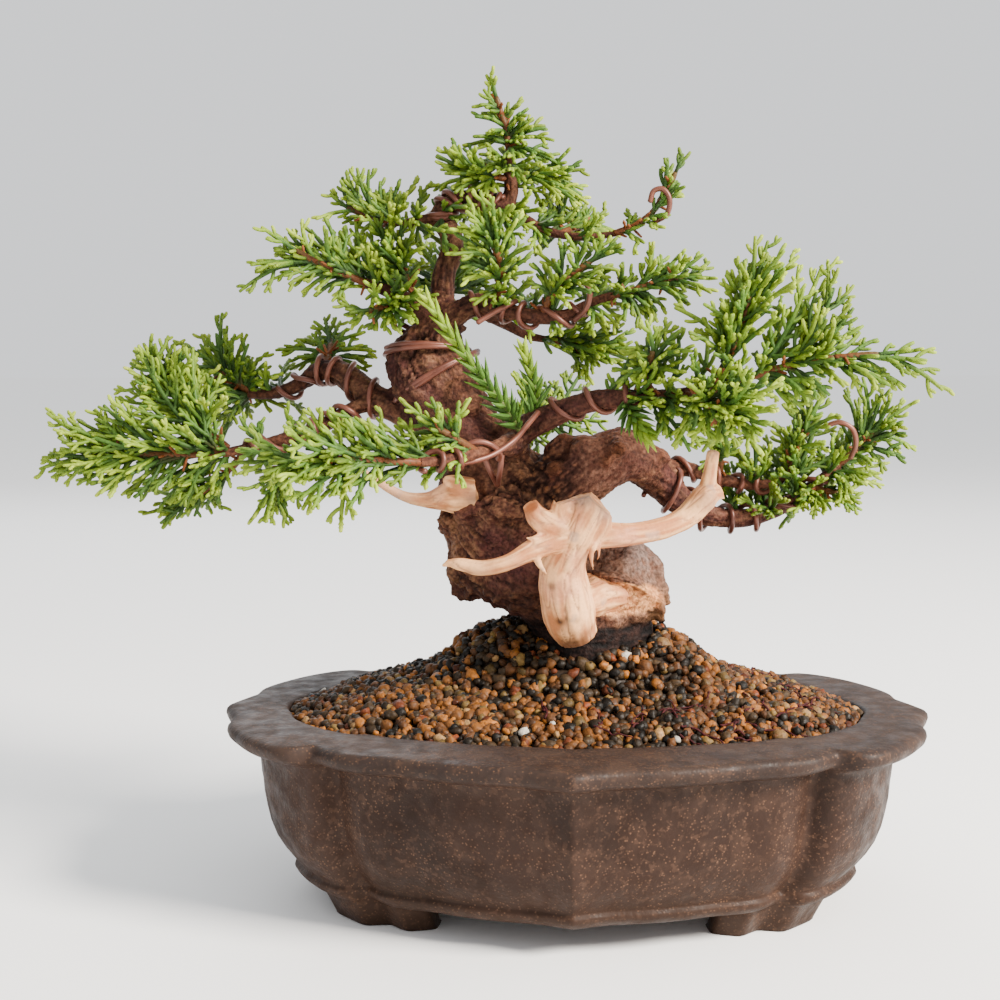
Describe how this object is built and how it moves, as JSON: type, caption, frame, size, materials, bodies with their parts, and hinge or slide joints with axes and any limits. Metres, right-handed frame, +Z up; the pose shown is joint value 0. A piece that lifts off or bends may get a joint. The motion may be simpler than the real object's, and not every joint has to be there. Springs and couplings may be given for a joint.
{
  "type": "juniper bonsai tree in a pot",
  "caption": "Small trained juniper with a swollen trunk, bleached deadwood and leafy pads, rising from a mound of granules in a lobed oval pot on bracket feet.",
  "frame": {"origin": "middle of the bounding box, on the surface that the pot stands on; the pot's own middle lies 25.2 mm towards +X", "axes": "+X along the pot's long side to the viewer's right, +Y away from the viewer, +Z up"},
  "size_m": [0.251, 0.152, 0.2289],
  "materials": {
    "stoneware": "unglazed fired stoneware, fine tan speckle",
    "plastic_mesh": "matt",
    "bare_wire": "satin",
    "granules": "rough baked clay granules",
    "bark": "flaky bark",
    "deadwood": "bleached bare wood",
    "brown_wire": "brown anodised",
    "young_leaf": "matt green leaf",
    "scale_leaf": "matt green leaf"
  },
  "bodies": {
    "root": {"pot": "stoneware", "drain_mesh_left": "plastic_mesh", "drain_mesh_right": "plastic_mesh", "tie_wire": "bare_wire", "soil": "granules", "tree_wood": "bark", "deadwood_front": "deadwood", "deadwood_left": "deadwood", "wire_trunk": "brown_wire", "wire_left": "brown_wire", "wire_left_low": "brown_wire", "wire_front_left": "brown_wire", "wire_front_right": "brown_wire", "wire_right": "brown_wire", "wire_right_upper": "brown_wire", "wire_upper_right": "brown_wire", "wire_crown": "brown_wire", "sprig_left": "young_leaf", "sprig_middle": "young_leaf", "sprig_right": "young_leaf", "spray_left_main": "scale_leaf", "spray_left_upper": "scale_leaf", "spray_left_back": "scale_leaf", "spray_left_low": "scale_leaf", "spray_left_under": "scale_leaf", "spray_left_inner": "scale_leaf", "spray_front_left": "scale_leaf", "spray_front_inner": "scale_leaf", "spray_upper_left_far": "scale_leaf", "spray_upper_left_top": "scale_leaf", "spray_upper_left_low": "scale_leaf", "spray_upper_left_mid": "scale_leaf", "spray_apex": "scale_leaf", "spray_crown_right": "scale_leaf", "spray_crown_left": "scale_leaf", "spray_centre": "scale_leaf", "spray_upper_right": "scale_leaf", "spray_upper_right_mid": "scale_leaf", "spray_sprout": "scale_leaf", "spray_upper_back": "scale_leaf", "spray_under_right": "scale_leaf", "spray_right_front_up": "scale_leaf", "spray_right_front_out": "scale_leaf", "spray_right_front_low": "scale_leaf", "spray_right_front_in": "scale_leaf", "spray_right_out": "scale_leaf", "spray_right_under": "scale_leaf", "spray_right_mid": "scale_leaf", "spray_right_inner": "scale_leaf", "spray_back": "scale_leaf", "spray_back_high": "scale_leaf"}
  },
  "joints": []
}
